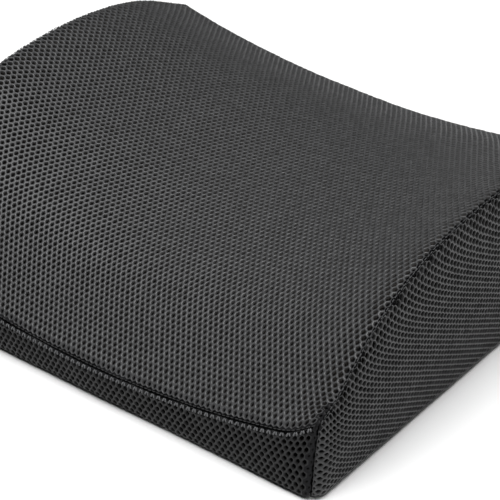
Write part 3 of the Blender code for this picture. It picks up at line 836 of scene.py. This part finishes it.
def foam_and_liner(foam_mat, liner_mat):
    """The foam core with softened corners, and the sock around it as a cap and a back sheet."""
    core = soft_copy("memory_foam_core", -0.0022)
    core.data.materials.append(foam_mat)
    finish_piece(core, "memory_foam", "foam_core")
    for name, node, keep_upper in (("liner_sock_cap", "liner_cap", True),
                                   ("liner_sock_back", "liner_back", False)):
        sock = soft_copy(name, -0.0017)
        split = min(vert.co.z for vert in sock.data.vertices) + LINER_SPLIT
        bm = bmesh.new()
        bm.from_mesh(sock.data)
        bmesh.ops.bisect_plane(bm, geom=bm.verts[:] + bm.edges[:] + bm.faces[:], dist=1e-6,
                               plane_co=(0, 0, split), plane_no=(0, 0, 1),
                               clear_inner=keep_upper, clear_outer=not keep_upper)
        bm.to_mesh(sock.data)
        bm.free()
        wall = sock.modifiers.new("Knit", "SOLIDIFY")
        wall.thickness = 0.0004
        wall.offset = 1.0
        sock.data.materials.append(liner_mat)
        finish_piece(sock, "knitted_liner", node)


# Stage

def stage():
    """The floor, the world, two lamps and the camera of the main view."""
    floor_mat = principled("pale_floor", (0.93, 0.93, 0.93), 0.8, specular=0.1)
    bpy.ops.mesh.primitive_plane_add(size=5)
    floor = bpy.context.object
    floor.name = "floor"
    floor.data.materials.append(floor_mat)
    world = bpy.data.worlds.new("studio")
    world.use_nodes = True
    background = world.node_tree.nodes["Background"]
    background.inputs["Color"].default_value = (1, 1, 1, 1)
    background.inputs["Strength"].default_value = 1.0
    bpy.context.scene.world = world
    world.cycles_visibility.diffuse = False
    world.cycles_visibility.glossy = False
    bpy.context.scene.view_settings.view_transform = "Standard"

    def area(name, place, target, size, power):
        lamp = bpy.data.lights.new(name, "AREA")
        lamp.size = size
        lamp.energy = power
        obj = bpy.data.objects.new(name, lamp)
        obj.location = place
        obj.rotation_euler = (Vector(target) - Vector(place)).to_track_quat("-Z", "Y").to_euler()
        bpy.context.scene.collection.objects.link(obj)

    area("overhead", (0.1, -0.8, 6.0), (0, 0, 0.05), 4.8, 545)
    area("right", (1.5, -0.5, 1.2), (0, 0, 0.05), 0.8, 3)

    data = bpy.data.cameras.new("camera")
    data.sensor_width = 36
    data.lens = 153.8
    data.clip_end = 50
    camera = bpy.data.objects.new("camera", data)
    azimuth, elevation, distance = math.radians(37.7), math.radians(33.2), 1.303
    target = Vector((0.0305, -0.0288, 0.050))
    look = Vector((math.sin(azimuth) * math.cos(elevation), -math.cos(azimuth) * math.cos(elevation),
                   math.sin(elevation)))
    camera.location = target + look * distance
    camera.rotation_euler = (-look).to_track_quat("-Z", "Y").to_euler()
    bpy.context.scene.collection.objects.link(camera)
    bpy.context.scene.camera = camera


# The scene

stage()
# three copies of the one knit: lighter on the top as painted light, darker on the sides and the back and
# darkest on the end bands as painted shade
top_cloth_lit = mesh_cloth("top", 0.053, 0.032, 0.040, 0.42)
side_cloth_shaded = mesh_cloth("side", 0.038, 0.008, 0.032, 0.40)
band_cloth_deep_shade = mesh_cloth("band", 0.019, 0.004, 0.016, 0.18)
thread = textured(principled("thread_twist", (0.018, 0.018, 0.019), 0.55), "wave", 500, 0.3, 0.0001)
pale_thread = textured(principled("thread_pale", (0.050, 0.051, 0.053), 0.5), "wave", 500, 0.3, 0.0001)
webbing = textured(principled("webbing_weave", (0.022, 0.022, 0.023), 0.65), "wave", 300, 0.25, 0.0001)
tape_weave = textured(principled("tape_weave", (0.020, 0.020, 0.021), 0.7), "wave", 420, 0.3, 0.00008)
nylon = textured(principled("coil_nylon", (0.016, 0.016, 0.017), 0.32), "noise", 400, 0.15, 0.00003)
plastic = textured(principled("buckle_grain", (0.017, 0.017, 0.018), 0.38), "noise", 1400, 0.12, 0.00003)
gunmetal = textured(principled("zip_gunmetal", (0.11, 0.11, 0.115), 0.32, metallic=1.0),
                    "noise", 900, 0.12, 0.00002, stretch=(0.2, 1, 1))
foam = textured(principled("foam_cells", (0.62, 0.58, 0.45), 0.9), "cells", 700, 0.18, 0.0002)
liner = textured(principled("liner_knit", (0.020, 0.020, 0.022), 0.85), "wave", 600, 0.3, 0.0001)

top = top_panel()
right = side_panel("cover_side_right", 1)
left = side_panel("cover_side_left", -1)
thin = end_panel("cover_thin_band", False)
back = back_panel()
cover_panel(top, top_cloth_lit)
for panel in (right, left, back):
    cover_panel(panel, side_cloth_shaded)
for panel in (thin, end_panel("cover_thick_band_upper", True, upper_of_zip=True),
              end_panel("cover_thick_band_lower", True, lower_of_zip=True)):
    cover_panel(panel, band_cloth_deep_shade)

# the seams round the top and up the corners, then the one round the back
for name, panel, side in (("side_left", top, "p0"), ("side_right", top, "p1"),
                          ("thin_edge", top, "q0"), ("thick_edge", top, "q1"),
                          ("corner_thin_left", left, "p1"), ("corner_thin_right", right, "p0"),
                          ("corner_thick_left", left, "p0"), ("corner_thick_right", right, "p1")):
    path, facing = panel.edge(side, 200, 0.0003)
    out = path - (0, MID_Y, 0.03)
    out /= np.linalg.norm(out, axis=1, keepdims=True)
    facing = facing * np.sign(np.sum(facing * out, axis=1, keepdims=True)) + 0.5 * out
    stitch_row("seam_thread_" + name, path, facing, pale_thread if name.startswith("side") else thread)
rim = [back.edge(side, 150, 0.0) for side in ("q0", "p1", "q1", "p0")]
path = np.concatenate([points if k < 2 else points[::-1] for k, (points, _) in enumerate(rim)])
path = path + (0, 0, 0.0008)
stitch_row("seam_thread_back", path, np.tile((0.0, 0.0, -1.0), (len(path), 1)), thread)

# the knit's loops that stand along the thin edge, two legs to a cell; their yarn is painted much paler than
# the knit's, as a painted highlight
loop_yarn_highlight = textured(principled("mesh_yarn_loops_highlight", (0.11, 0.112, 0.116), 0.5, specular=0.3),
                     "noise", 500, 0.3, 0.0001)
loops_p = np.arange(-SEAM_X + CELL * 1.5, SEAM_X - CELL, CELL * BAND_KNIT)
legs = [(loops_p + side * 0.0004, loops_p + side * 0.0012) for side in (-1, 1)]
heads, feet = (np.concatenate(ends) for ends in zip(*legs))
heads, feet = ((p, thin.high(p) - gap) for p, gap in ((heads, 0.0007), (feet, 0.0030)))
loops = capsules("seam_loops_thin_edge", thin.points(*heads, heads[0] * 0 + 0.0005),
                 thin.points(*feet, feet[0] * 0 + 0.0004), thin.normal(*feet), 0.00055, loop_yarn_highlight)
finish_piece(loops, "spacer_mesh")
foam_and_liner(foam, liner)

for k, side in enumerate(("upper", "lower")):
    zip_half(side, tape_weave, nylon, k * COIL_PITCH / 2)
for node in ("zip_stop_open_end", "zip_stop_closed_end"):
    eased(node, nylon, "zip_coil", "cushion")
for node in ("zip_slider", "zip_pull_tab"):
    eased(node, gunmetal, "zip_metal", node, 0.0003)
strap_half("strap_webbing_left", -1, webbing)
right_strap, anchor_x, bar_x, anchor_z = strap_half("strap_webbing_right", 1, webbing)
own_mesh(right_strap)
eased("buckle_socket", plastic, "buckle_plastic", "cushion", 0.0006)
for node in ("buckle_plug", "buckle_arm_left", "buckle_arm_right", "strap_keeper"):
    eased(node, plastic, "buckle_plastic", node)
